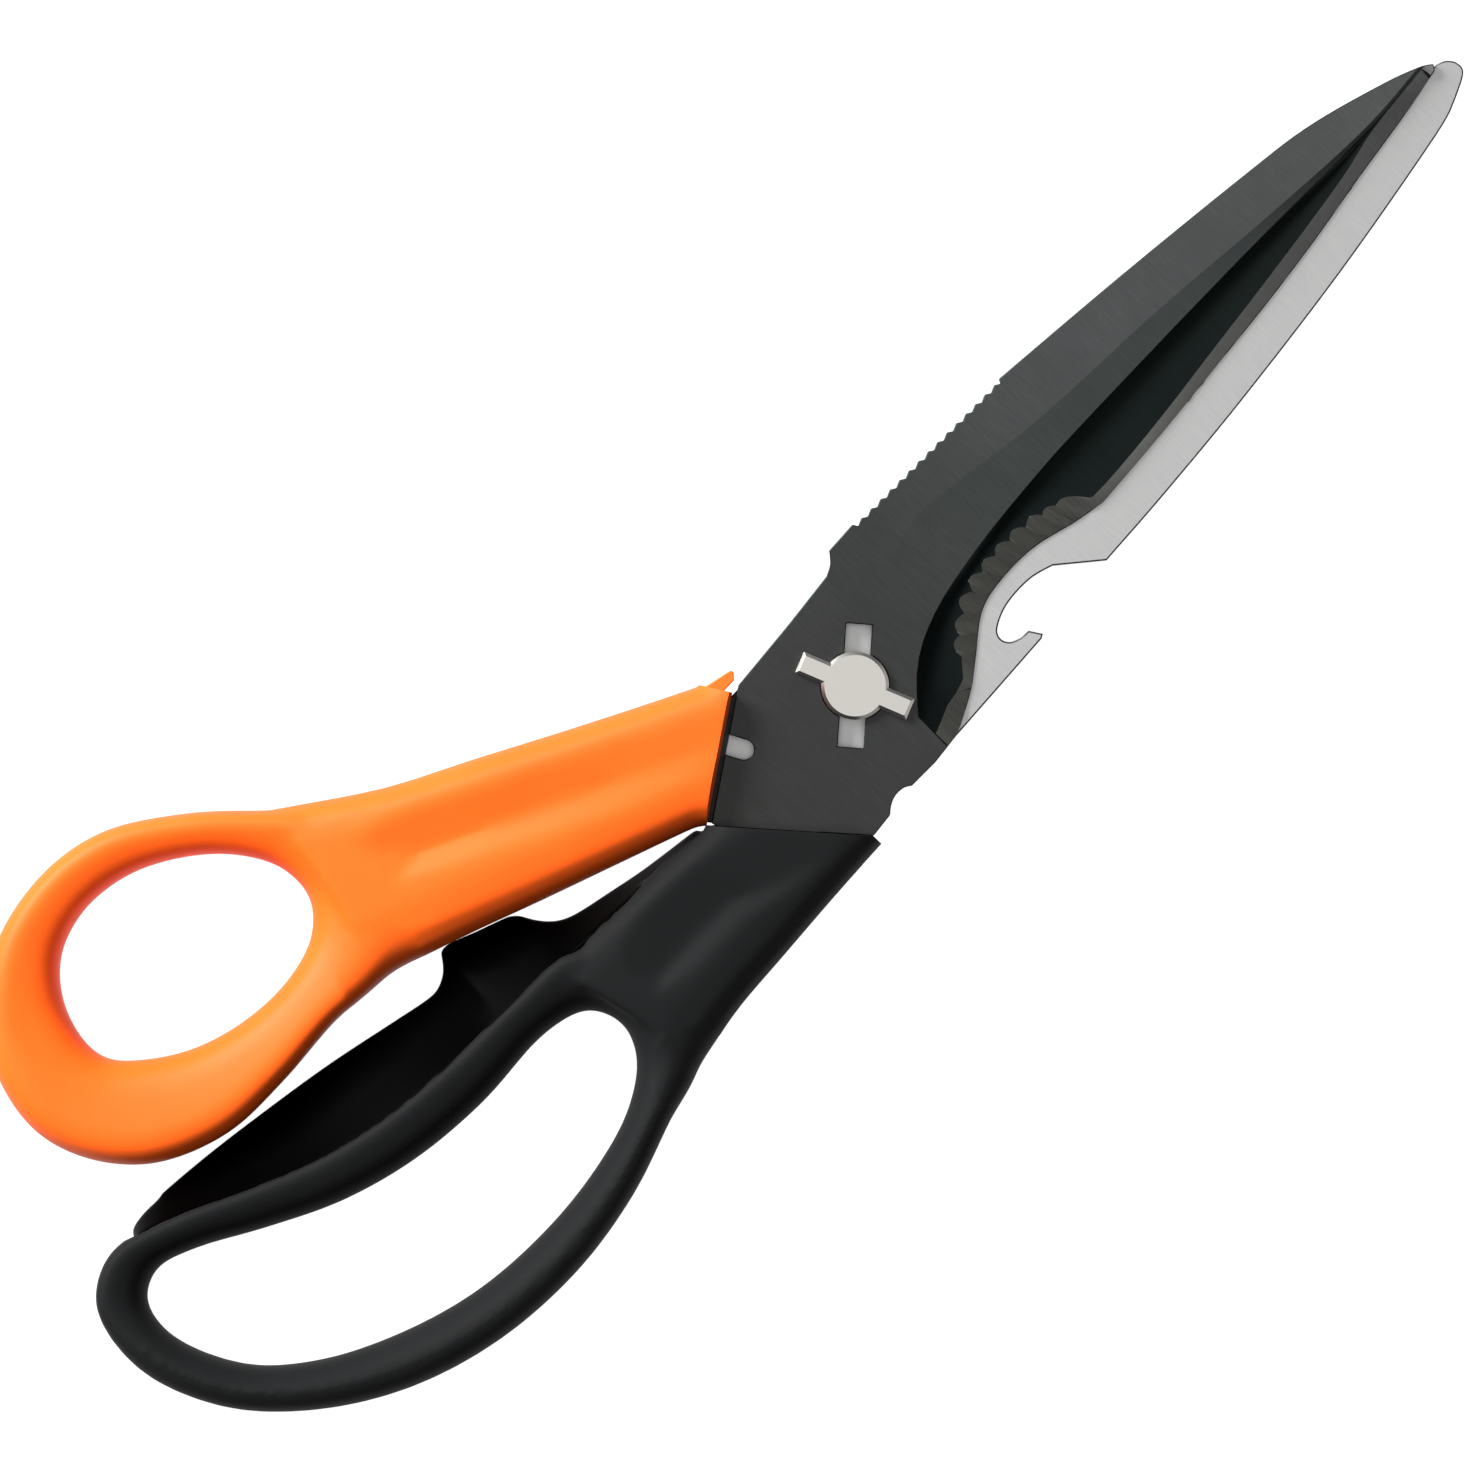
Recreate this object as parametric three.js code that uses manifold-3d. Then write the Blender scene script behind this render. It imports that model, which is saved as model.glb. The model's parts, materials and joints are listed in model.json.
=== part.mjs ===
// Multi-purpose take-apart scissors, closed, in millimetres.
// X runs from the pivot to the tips, Y to the thumb side, Z to the front.
// The origin is on the pivot axis, on the flat back of the rivet head.
import * as THREE from "three";
import { mergeVertices } from "three/addons/utils/BufferGeometryUtils.js";
import Module from "manifold-3d";

const wasm = await Module();
wasm.setup();

// Pivot
const POST_RADIUS = 4.2; // round post that the cutting blade turns on
const HEAD_CHAMFER = 0.4; // round the post's top and the wings
const POST_PROUD = 1.45; // post top above the cutting blade's face
const NECK_RADIUS = 2.5; // riveted neck through the opener blade and the washer
const RIVET_RADIUS = 3.6;
const RIVET_HEIGHT = 0.4;
const WASHER_RADIUS = 5.6;
const WASHER_THICKNESS = 0.6;
const WING_REACH = 7.45; // from the pivot axis to the end of a wing
const WING_WIDTH = 2.8;
const WING_ANGLE = 110.5; // degrees from X
const KEYHOLE_ANGLE = 39.5; // degrees from X, on the closed cutting blade
const RUNNING_CLEARANCE = 0.06; // radial, post in the cutting blade
const SEAT_GAP = 0.03; // between pieces that are clamped together
const WING_GAP = 0.12; // under the wings
const WING_SLIP = 0.2; // each side of a wing in the keyhole

// Blades
const BLADE_REACH = 107.4; // from the pivot axis to the rear blade's tip
const BLADE_THICKNESS = 2.4;
const BLADE_GAP = 0.1; // between the two ground faces
const EDGE_LAND = 0.25; // steel left under a cutting edge
const BEVEL_DROP = 0.2; // fall of the shallow bevel below the face
const HOLLOW_DEPTH = 1.0; // of the hollow grind, at its lower end
const HOLLOW_ROUNDNESS = 4; // power of the hollow's curve
const TOOTH_PITCH = 1.62; // fine teeth on the spine
const TOOTH_DEPTH = 0.42;
const SCALLOP_RADIUS = 3.0; // grinding scallops in the branch notch
const SCALLOP_COUNT = 10;
const SCALLOP_RUN = [0.08, 0.69]; // first and last scallop, as shares of the notch's length
const SCALLOP_REACH = [3.9, 3.0]; // from the edge to the tip of the first and the last scallop
const SCALLOP_SKEW = [30, 0]; // degrees that they lean towards the pivot
const SCALLOP_TIP_DEPTH = 0.95; // of a scallop's tip below the blade's face
const SIDE_NOTCH_WIDTH = 2.5; // round-ended notch beside the thumb handle
const SHOULDER_GAP = 0.08; // between the cutting blade's shoulder and the finger handle
const FRONT_GAP = 1.0; // between the cutting blade and the thumb handle's front end
const TANG_PIN_RADIUS = 2.2;

// Handles
const BODY_HALF = 7.2; // half the depth of a handle behind the blades
const LOOP_HALF = 6.5; // half the depth of a loop
const CORE_HALF = 4.4; // half the depth of the hard core round a tang
const CORE_CLEARANCE = 0.05; // between the hard core and the soft grip
const TANG_CLEARANCE = 0.05;
const FLANGE_EDGE = 1.6; // thickness of the flange's free edge
const FLANGE_FOOT = 10.4; // thickness of the flange at the crease
const FLANGE_DROP = 2.4; // of the flange's free edge behind the handle's middle
const FLANGE_ROOT = 1.8; // depth that the flange is keyed into the grip
const CREASE_INSET = 0.8; // how far the grip's rim laps over the flange
const STOP_GAP = 0.3; // between the closed handles at the stop

// Heights in the stack, from the back of the rivet head to the front
const washerBack = RIVET_HEIGHT + SEAT_GAP;
const openerBack = washerBack + WASHER_THICKNESS + SEAT_GAP;
const openerFace = openerBack + BLADE_THICKNESS;
const cutterBack = openerFace + BLADE_GAP;
const cutterFace = cutterBack + BLADE_THICKNESS;
const wingSeat = cutterFace + WING_GAP;
const postTop = cutterFace + POST_PROUD;
const middle = (openerFace + cutterBack) / 2;
const PAST = 1.2; // how far a cutting body runs past what it cuts
const FINE = 64; // sides of a round piece that turns
const COARSE = 24; // sides of a hidden round piece

// Turns a closed geometry into a solid for joining and cutting.
function solidOf(geometry) {
  geometry.deleteAttribute("normal");
  geometry.deleteAttribute("uv");
  const merged = mergeVertices(geometry, 1e-4);
  return new wasm.Manifold(
    new wasm.Mesh({
      numProp: 3,
      vertProperties: new Float32Array(merged.attributes.position.array),
      triVerts: new Uint32Array(merged.index.array),
    }),
  );
}

function geometryOf(solid) {
  const mesh = solid.getMesh();
  return new THREE.BufferGeometry()
    .setAttribute("position", new THREE.BufferAttribute(mesh.vertProperties, 3))
    .setIndex(new THREE.BufferAttribute(mesh.triVerts, 1));
}

// A flat outline raised from one height to another.
function prism(outline, low, high) {
  const shape = outline instanceof THREE.Shape ? outline : new THREE.Shape(outline.map(point));
  const geometry = new THREE.ExtrudeGeometry(shape, {
    depth: high - low,
    bevelEnabled: false,
    curveSegments: 5,
  });
  return solidOf(geometry.translate(0, 0, low));
}

function point([x, y]) {
  return new THREE.Vector2(x, y);
}

function round(radius, low, high, sides = FINE) {
  const geometry = new THREE.CylinderGeometry(radius, radius, high - low, sides);
  return solidOf(geometry.rotateX(Math.PI / 2).translate(0, 0, (low + high) / 2));
}

// Joins rings of equal numbers of points into a skin, closed on itself or capped at both ends.
function skin(rings, closed) {
  const count = rings[0].length;
  const positions = rings.flat(2);
  const faces = [];
  const last = closed ? rings.length : rings.length - 1;
  for (let i = 0; i < last; i++) {
    const here = i * count;
    const next = ((i + 1) % rings.length) * count;
    for (let k = 0; k < count; k++) {
      const after = (k + 1) % count;
      faces.push(here + k, next + k, next + after);
      faces.push(here + k, next + after, here + after);
    }
  }
  if (!closed) {
    const end = (rings.length - 1) * count;
    for (let k = 1; k < count - 1; k++) {
      faces.push(0, k, k + 1);
      faces.push(end, end + k + 1, end + k);
    }
  }
  const geometry = new THREE.BufferGeometry();
  geometry.setAttribute("position", new THREE.Float32BufferAttribute(positions, 3));
  geometry.setIndex(volumeOf(positions, faces) < 0 ? faces.slice().reverse() : faces);
  return solidOf(geometry);
}

function volumeOf(positions, faces) {
  const corner = (i) => new THREE.Vector3().fromArray(positions, faces[i] * 3);
  let six = 0;
  for (let i = 0; i < faces.length; i += 3) six += corner(i).dot(corner(i + 1).cross(corner(i + 2)));
  return six / 6;
}

// Runs smoothly through the stations of a line given as [x, y] points in the order of x.
function along(stations, x) {
  const end = stations.length - 1;
  const next = THREE.MathUtils.clamp(stations.findIndex(([at]) => at >= x), 1, end);
  const slope = (i) => {
    const [[x0, y0], [x1, y1]] = [stations[Math.max(i - 1, 0)], stations[Math.min(i + 1, end)]];
    return (y1 - y0) / (x1 - x0);
  };
  const [[x0, y0], [x1, y1]] = [stations[next - 1], stations[next]];
  const width = x1 - x0;
  const t = THREE.MathUtils.clamp((x - x0) / width, 0, 1);
  const leaving = slope(next - 1) * width;
  const arriving = slope(next) * width;
  const bend = (1 - t) * (leaving - (y1 - y0)) + t * (y1 - y0 - arriving);
  return THREE.MathUtils.lerp(y0, y1, t) + t * (1 - t) * bend;
}

// Follows a smooth line through points onto a shape.
function curveThrough(shape, points) {
  shape.splineThru(points.map(point));
}

// Lines that the pieces share, seen from the front

// The blades are drawn for one reach, and the part of them beyond the notches is drawn out to another.
const DRAWN_REACH = 107.4;
const DRAWN_OUT_FROM = 40;

function drawnOut(line) {
  const stretch = (BLADE_REACH - DRAWN_OUT_FROM) / (DRAWN_REACH - DRAWN_OUT_FROM);
  return line.map(([x, y]) => [x + Math.max(x - DRAWN_OUT_FROM, 0) * (stretch - 1), y]);
}

// The front ends of the handles, with the blades on the right of each line as it runs.
const THUMB_FRONT = [[-25.1, 1.95], [-11.0, 11.0]];
const FINGER_FRONT = [[-11.9, -14.55], [-24.85, 0.85]];
const CUTTING_EDGE = drawnOut([
  [104.7, 0.55], [98.8, -0.5], [88.9, -1.8], [79, -3.25],
  [69.1, -4.35], [59.3, -5.15], [49.4, -5.95], [37.8, -6.6],
]);
const BRANCH_NOTCH = [
  [37.8, -6.6], [33.6, -5.8], [27.7, -4.25], [22, -4.1],
  [17.5, -5.1], [12.8, -8.5], [9.4, -10.9], [4.4, -13.35],
];

// A line moved sideways, to its right as it runs.
function movedRight([[x0, y0], [x1, y1]], by) {
  const length = Math.hypot(x1 - x0, y1 - y0);
  const shiftX = ((y1 - y0) / length) * by;
  const shiftY = (-(x1 - x0) / length) * by;
  return [[x0 + shiftX, y0 + shiftY], [x1 + shiftX, y1 + shiftY]];
}

// Cutting blade

const CUTTER_TANG = [[-16.1, -9.43], [-30, -10.2], [-43.5, -8.2], [-45, -5.6], [-43.5, -3.2], [-24.2, -0.6]];
const CUTTER_TANG_PIN = [-34, -6.4];
const SHOULDER = [[-9.9, 10.5], [0, 11.2]]; // the spine beside the pivot
const SPINE_STEP = [[7.4, 11.9], [8.7, 12.55], [9.5, 13.35], [9.9, 13.85]];
const TEETH_LEAD = [14.2, 14.0];
const TEETH_FROM = [14.6, 13.75];
const TEETH_TO = [39.5, 13.15];
const SPINE = drawnOut([
  [39.8, 13.3], [59.3, 11.2], [79, 8.7], [88.9, 7.1], [98.8, 4.15], [103.7, 2.2], [105.2, 1.2],
]);
const BELLY = [0, -13.75]; // the lower edge beside the pivot
const WIRE_NOTCH = [[-4.1, -13.65], [-5.0, -13.1], [-6.3, -13.0], [-7.5, -13.4], [-8.6, -14.2]];
const SIDE_NOTCH_END = [-15.2, 4.5];
const SIDE_NOTCH_MOUTH = [-17.4, 8.8];

function cutterOutline() {
  const abut = movedRight(THUMB_FRONT, FRONT_GAP);
  const shape = new THREE.Shape();
  shape.moveTo(...SHOULDER[0]);
  shape.lineTo(...SHOULDER[1]);
  shape.lineTo(...SPINE_STEP[0]);
  curveThrough(shape, SPINE_STEP.slice(1));
  shape.lineTo(...TEETH_LEAD);
  const [fromX, fromY] = TEETH_FROM;
  const [toX, toY] = TEETH_TO;
  const teeth = Math.round((toX - fromX) / TOOTH_PITCH);
  for (let i = 0; i <= teeth; i++) {
    const crest = fromY + ((toY - fromY) * i) / teeth;
    const x = fromX + ((toX - fromX) * i) / teeth;
    shape.lineTo(x, crest - TOOTH_DEPTH);
    if (i < teeth) shape.lineTo(x + TOOTH_PITCH * 0.6, crest);
  }
  shape.lineTo(...SPINE[0]);
  curveThrough(shape, SPINE.slice(1));
  shape.lineTo(...CUTTING_EDGE[0]);
  curveThrough(shape, CUTTING_EDGE.slice(1));
  curveThrough(shape, BRANCH_NOTCH.slice(1));
  shape.lineTo(...BELLY);
  shape.lineTo(...WIRE_NOTCH[0]);
  curveThrough(shape, WIRE_NOTCH.slice(1));
  shape.lineTo(...movedRight(FINGER_FRONT, SHOULDER_GAP)[0]);
  CUTTER_TANG.forEach(([x, y]) => shape.lineTo(x, y));
  shape.lineTo(...abut[0]);
  shape.lineTo(...abut[1]);
  return shape;
}

// Where the grinds lie on the front face, as [x, y] stations.
const RIDGE = drawnOut([
  [2.5, -8.3], [9, 1.5], [14, 7], [20, 8.8], [24.7, 8.5],
  [39.5, 6.3], [59.3, 4.9], [79, 2.9], [94, 1.85], [105.5, 2.4],
]);
const HOLLOW_TOP = drawnOut([
  [2.5, -8.4], [6, -4.8], [9, -2.7], [12, -1.4], [16, -0.25], [24, 0.95],
  [32, 1.6], [40, 1.95], [70, 1.95], [94, 1.5], [105.5, 2.1],
]);
const HOLLOW_END = drawnOut([
  [2.5, -11.6], [6, -10.0], [9.6, -9.3], [11.5, -7.3], [13.4, -5.5], [15.8, -3.9], [18.2, -2.8],
  [20.6, -2.2], [23, -1.8], [25.5, -1.7], [28, -2.0], [30.4, -2.6], [33, -3.8], [35.8, -5.0],
  [40, -5.2], [50, -4.55], [60, -3.5], [70, -2.45], [80, -1.3], [88, -0.2], [94, 1.0], [105.5, 1.95],
]);
const EDGE_LINE = [...CUTTING_EDGE, ...BRANCH_NOTCH.slice(1)].reverse();
const BEVEL_RUN_IN = [14, 34]; // where the shallow bevel starts and where it is full
const HOLLOW_RUN_IN = [1, 9];
const LEAST_GRIND = 0.01;
const GRIND_STEPS = 56;
const HOLLOW_STEPS = 6; // across the hollow

// The steel that grinding takes off the front face: shallow bevel, hollow and edge bevel.
function grindings() {
  const rings = [];
  const [[from], [to]] = [RIDGE[0], RIDGE.at(-1)];
  for (let i = 0; i <= GRIND_STEPS; i++) {
    const x = THREE.MathUtils.lerp(from, to, i / GRIND_STEPS);
    const top = along(HOLLOW_TOP, x);
    const ridge = Math.max(along(RIDGE, x), top + LEAST_GRIND);
    const end = along(HOLLOW_END, x);
    const edge = along(EDGE_LINE, x);
    const bevel = LEAST_GRIND + BEVEL_DROP * THREE.MathUtils.smoothstep(x, ...BEVEL_RUN_IN);
    const share = THREE.MathUtils.smoothstep(x, ...HOLLOW_RUN_IN);
    const hollow = THREE.MathUtils.lerp(bevel, HOLLOW_DEPTH, share);
    const full = THREE.MathUtils.lerp(hollow, BLADE_THICKNESS - EDGE_LAND, share);
    const slope = (full - hollow) / (end - edge);
    const section = [[ridge, 0]];
    for (let k = 0; k <= HOLLOW_STEPS; k++) {
      const across = k / HOLLOW_STEPS;
      const fall = 1 - (1 - across) ** HOLLOW_ROUNDNESS;
      section.push([THREE.MathUtils.lerp(top, end, across), THREE.MathUtils.lerp(bevel, hollow, fall)]);
    }
    section.push(
      [edge, full], [edge - PAST, full + slope * PAST], [edge - PAST, -PAST], [ridge, -PAST],
    );
    rings.push(section.map(([y, depth]) => [x, y, cutterFace - depth]));
  }
  return skin(rings, false);
}

// Grinding scallops along the branch notch, leaning towards the pivot.
function scallops() {
  const notch = new THREE.SplineCurve(BRANCH_NOTCH.map(point));
  const cuts = [];
  for (let i = 0; i < SCALLOP_COUNT; i++) {
    const step = i / (SCALLOP_COUNT - 1);
    const share = THREE.MathUtils.lerp(...SCALLOP_RUN, step);
    const foot = notch.getPointAt(share);
    const tangent = notch.getTangentAt(share);
    const skew = THREE.MathUtils.degToRad(THREE.MathUtils.lerp(...SCALLOP_SKEW, step));
    const inward = new THREE.Vector2(tangent.y, -tangent.x).rotateAround(new THREE.Vector2(), skew);
    const reach = THREE.MathUtils.lerp(...SCALLOP_REACH, step);
    const edge = new THREE.Vector3(foot.x, foot.y, cutterBack + EDGE_LAND);
    foot.addScaledVector(inward, reach);
    const tip = new THREE.Vector3(foot.x, foot.y, cutterFace - SCALLOP_TIP_DEPTH);
    const axis = tip.clone().sub(edge);
    const wheel = new THREE.CylinderGeometry(SCALLOP_RADIUS, SCALLOP_RADIUS, axis.length() * 2, FINE);
    const upright = new THREE.Vector3(0, 1, 0);
    wheel.applyQuaternion(new THREE.Quaternion().setFromUnitVectors(upright, axis.normalize()));
    const square = new THREE.Vector3(0, 0, 1).projectOnPlane(axis).normalize();
    wheel.translate(...edge.addScaledVector(square, SCALLOP_RADIUS));
    cuts.push(solidOf(wheel));
  }
  return wasm.Manifold.union(cuts);
}

// Slot that lets the wings through when the blades are fully open.
function keyhole() {
  const reach = WING_REACH + WING_SLIP;
  const half = WING_WIDTH / 2 + WING_SLIP;
  const slotOutline = [[-reach, -half], [reach, -half], [reach, half], [-reach, half]];
  const slot = prism(slotOutline, cutterBack - PAST, cutterFace + PAST);
  const hole = round(POST_RADIUS + RUNNING_CLEARANCE, cutterBack - PAST, cutterFace + PAST);
  return hole.add(slot.rotate([0, 0, KEYHOLE_ANGLE]));
}

function sideNotch() {
  const half = SIDE_NOTCH_WIDTH / 2;
  const [endX, endY] = SIDE_NOTCH_END;
  const away = Math.atan2(SIDE_NOTCH_MOUTH[1] - endY, SIDE_NOTCH_MOUTH[0] - endX);
  const length = Math.hypot(SIDE_NOTCH_MOUTH[0] - endX, SIDE_NOTCH_MOUTH[1] - endY);
  const shape = new THREE.Shape();
  shape.absarc(0, 0, half, Math.PI / 2, (3 * Math.PI) / 2);
  shape.lineTo(length, -half);
  shape.lineTo(length, half);
  const cut = prism(shape, cutterBack - PAST, cutterFace + PAST);
  return cut.rotate([0, 0, THREE.MathUtils.radToDeg(away)]).translate([endX, endY, 0]);
}

function cuttingBlade() {
  const pin = round(TANG_PIN_RADIUS, cutterBack - PAST, cutterFace + PAST, COARSE);
  return prism(cutterOutline(), cutterBack, cutterFace)
    .subtract(grindings())
    .subtract(scallops())
    .subtract(keyhole())
    .subtract(sideNotch())
    .subtract(pin.translate([...CUTTER_TANG_PIN, 0]));
}

// Opener blade

const OPENER_TANG = [[-22.9, 3.7], [-44, 13.3], [-45.6, 15.8], [-44.2, 18.4], [-28, 12.6], [-13.2, 10.2]];
const OPENER_TANG_PIN = [-35.5, 12.4];
const OPENER_NECK = 0.145; // where the tang leaves the blade, as a share of the thumb handle's front end
const OPENER_BACK = [[-5, 10.2], [4, 10.4]]; // behind the cutting blade, beside the pivot
const OPENER_EDGE = drawnOut([
  [12, 9.2], [16.5, 6.6], [22, 5.0], [40, 4.3], [60, 3.4], [80, 2.4], [95, 1.5], [105.4, 0.9],
]);
const OPENER_TIP = drawnOut([[106.6, 0.4], [107.4, -0.8], [107.0, -2.3], [103.7, -3.9]]);
const OPENER_SPINE = drawnOut([[98.8, -5.2], [79, -8.2], [59.3, -10.3], [44, -11.4], [32.8, -11.9]]);
const OPENER_NOTCH = [
  [27.7, -7.5], [24.5, -6.6], [20.4, -6.7], [17.5, -7.8], [16.7, -9.0], [17.2, -10.2], [18.6, -10.85],
];
const OPENER_HOOK = [[19.8, -10.9], [20.75, -12.45], [20.2, -12.75], [4.4, -13.4]];
const OPENER_BELLY = [[0, -13.2], [-5, -12.4], [-12, -11.2]];

function openerOutline() {
  const clear = movedRight(FINGER_FRONT, STOP_GAP + BLADE_GAP);
  const [corner, far] = movedRight(THUMB_FRONT, BLADE_GAP).map(point);
  const shape = new THREE.Shape();
  shape.moveTo(...OPENER_BACK[0]);
  shape.lineTo(...OPENER_BACK[1]);
  curveThrough(shape, OPENER_EDGE);
  curveThrough(shape, OPENER_TIP);
  curveThrough(shape, OPENER_SPINE);
  shape.lineTo(...OPENER_NOTCH[0]);
  curveThrough(shape, OPENER_NOTCH.slice(1));
  OPENER_HOOK.forEach(([x, y]) => shape.lineTo(x, y));
  curveThrough(shape, OPENER_BELLY);
  shape.lineTo(...clear[1]);
  shape.lineTo(corner.x, corner.y);
  const neck = corner.lerp(far, OPENER_NECK);
  shape.lineTo(neck.x, neck.y);
  OPENER_TANG.forEach(([x, y]) => shape.lineTo(x, y));
  return shape;
}

const OPENER_GRIND = drawnOut([
  [17, 2.0], [22, 1.3], [30, 0.2], [40, -0.3], [60, -0.9], [80, -1.5], [95, -1.7], [101, -1.5], [106.5, -0.8],
]);
const OPENER_RUN_IN = [14, 30]; // where the hollow starts and where it is full

// The hollow on the back of the opener blade that leaves its cutting edge.
function openerGrinding() {
  const rings = OPENER_GRIND.map(([x, foot]) => {
    const edge = along(OPENER_EDGE, x);
    const share = THREE.MathUtils.smoothstep(x, ...OPENER_RUN_IN);
    const full = LEAST_GRIND + (BLADE_THICKNESS - EDGE_LAND) * share;
    const slope = full / (edge - foot);
    const hollowMiddle = [THREE.MathUtils.lerp(foot, edge, 0.4), full * 0.32];
    const section = [
      [foot, 0], hollowMiddle, [edge, full], [edge + PAST, full + slope * PAST],
      [edge + PAST, -PAST], [foot, -PAST],
    ];
    return section.map(([y, depth]) => [x, y, openerBack + depth]);
  });
  return skin(rings, false);
}

function openerBlade() {
  const neck = round(NECK_RADIUS + SEAT_GAP, openerBack - PAST, openerFace + PAST);
  const pin = round(TANG_PIN_RADIUS, openerBack - PAST, openerFace + PAST, COARSE);
  return prism(openerOutline(), openerBack, openerFace)
    .subtract(openerGrinding())
    .subtract(neck)
    .subtract(pin.translate([...OPENER_TANG_PIN, 0]));
}

// Pivot stud and washer

function pivotStud() {
  const profile = [
    [0, 0], [RIVET_RADIUS, 0], [RIVET_RADIUS, RIVET_HEIGHT], [NECK_RADIUS, RIVET_HEIGHT],
    [NECK_RADIUS, openerFace + SEAT_GAP], [POST_RADIUS, openerFace + SEAT_GAP],
    [POST_RADIUS, postTop - HEAD_CHAMFER], [POST_RADIUS - HEAD_CHAMFER, postTop], [0, postTop],
  ];
  const post = solidOf(new THREE.LatheGeometry(profile.map(point), FINE).rotateX(Math.PI / 2));
  const layer = (inset, height) => {
    const [reach, half] = [WING_REACH - inset, WING_WIDTH / 2 - inset];
    return [[-reach, -half, height], [reach, -half, height], [reach, half, height], [-reach, half, height]];
  };
  const layers = [layer(0, wingSeat), layer(0, postTop - HEAD_CHAMFER), layer(HEAD_CHAMFER, postTop)];
  const wings = skin(layers, false).rotate([0, 0, WING_ANGLE]);
  return post.add(wings);
}

function pivotWasher() {
  const ring = round(WASHER_RADIUS, washerBack, washerBack + WASHER_THICKNESS);
  return ring.subtract(round(NECK_RADIUS + SEAT_GAP, washerBack - PAST, openerBack + PAST));
}

// Handles

const FRONT_BLOCK = 40; // breadth of the block that cuts a front end
const LOOP_STEPS = 76; // round a loop
const BODY_STEPS = 18; // along a body
const SECTION_STEPS = 11; // along half a rounded section

// Half a section of a bar, from its outer side over the front to its inner side,
// as [share of the way across, share of the half depth].
const DISHED = [
  [0, 0.3], [0.02, 0.6], [0.1, 0.88], [0.26, 1], [0.55, 0.92], [0.8, 0.8], [0.95, 0.56], [1, 0.25],
];
const EDGED = [
  [0, 0.35], [0.015, 0.7], [0.06, 0.93], [0.15, 1], [0.45, 0.93], [0.74, 0.8], [0.94, 0.5], [1, 0.2],
];
const ROUNDED = [
  [0, 0.3], [0.03, 0.58], [0.15, 0.86], [0.4, 1], [0.62, 0.95], [0.82, 0.77], [0.95, 0.52], [1, 0.22],
];
const PLANE = [
  [0, 0.45], [0.03, 0.75], [0.1, 0.94], [0.2, 1], [0.7, 1], [0.86, 0.93], [0.96, 0.72], [1, 0.4],
];

// Both halves of a section, front and back alike, run through smoothly where it has no plane.
function wholeSection(half) {
  const plane = half.some(([, up], i) => i > 0 && up === half[i - 1][1]);
  const smooth = new THREE.SplineCurve(half.map(point)).getPoints(SECTION_STEPS).map(({ x, y }) => [x, y]);
  const fine = plane ? half : smooth;
  return [...fine, ...fine.map(([across, up]) => [across, -up]).reverse()];
}

// A section part of the way from one to another.
function blended(one, other, share) {
  return one.map(([across, up], i) => [
    THREE.MathUtils.lerp(across, other[i][0], share),
    THREE.MathUtils.lerp(up, other[i][1], share),
  ]);
}

// A bar swept along stations of [outer point, inner point, half depth, section].
function bar(stations, steps, closed) {
  const line = (points) => new THREE.CatmullRomCurve3(points, closed, "centripetal");
  const outer = line(stations.map(([out, , half]) => new THREE.Vector3(...out, half)));
  const inner = line(stations.map(([, inside, half]) => new THREE.Vector3(...inside, half)));
  const spans = closed ? stations.length : stations.length - 1;
  const rings = [];
  for (let i = 0; i < (closed ? steps : steps + 1); i++) {
    const from = outer.getPoint(i / steps);
    const to = inner.getPoint(i / steps);
    const span = Math.min(Math.floor((i / steps) * spans), spans - 1);
    const next = (span + 1) % stations.length;
    const section = blended(stations[span][3], stations[next][3], (i / steps) * spans - span);
    rings.push(
      wholeSection(section).map(([across, up]) => [
        THREE.MathUtils.lerp(from.x, to.x, across),
        THREE.MathUtils.lerp(from.y, to.y, across),
        middle + from.z * up,
      ]),
    );
  }
  return skin(rings, closed);
}

// A recess in the front of a handle's body, from stations of [rim point, valley point, wall point, depth].
function recess(stations) {
  const front = middle + BODY_HALF;
  const rings = stations.map(([rim, valley, wall, depth]) => [
    [...rim, front], [...valley, front - depth], [...wall, front],
    [...wall, front + PAST], [...rim, front + PAST],
  ]);
  return skin(rings, false);
}

// A block on the right of a line, to cut a handle's front end along it.
function rightOf([[x0, y0], [x1, y1]]) {
  const length = Math.hypot(x1 - x0, y1 - y0);
  const overrun = (FRONT_BLOCK / length) * 0.5;
  const start = [x0 - (x1 - x0) * overrun, y0 - (y1 - y0) * overrun];
  const finish = [x1 + (x1 - x0) * overrun, y1 + (y1 - y0) * overrun];
  const [farStart, farFinish] = movedRight([start, finish], FRONT_BLOCK);
  return prism([finish, start, farStart, farFinish], middle - BODY_HALF - PAST, middle + BODY_HALF + PAST);
}

// An outline with every side moved outwards. The outline runs counter-clockwise.
function grown(outline, by) {
  return outline.map((here, i) => {
    const before = point(outline.at(i - 1));
    const after = point(outline[(i + 1) % outline.length]);
    const arriving = point(here).sub(before).normalize();
    const leaving = after.sub(point(here)).normalize();
    const bisector = new THREE.Vector2(arriving.y + leaving.y, -arriving.x - leaving.x).normalize();
    const reach = by / (bisector.x * arriving.y - bisector.y * arriving.x);
    return [here[0] + bisector.x * reach, here[1] + bisector.y * reach];
  });
}

// A pocket for a tang, open to the front, and the pin left standing in its hole.
function tangPocket(outline, pin, low, high) {
  const pocket = prism(grown(outline, TANG_CLEARANCE), low - TANG_CLEARANCE, high + TANG_CLEARANCE);
  const post = round(TANG_PIN_RADIUS - TANG_CLEARANCE, low - PAST, high + PAST, COARSE);
  return pocket.subtract(post.translate([...pin, 0]));
}

// Thumb handle, stations of [outer point, inner point, half depth, section]

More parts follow.
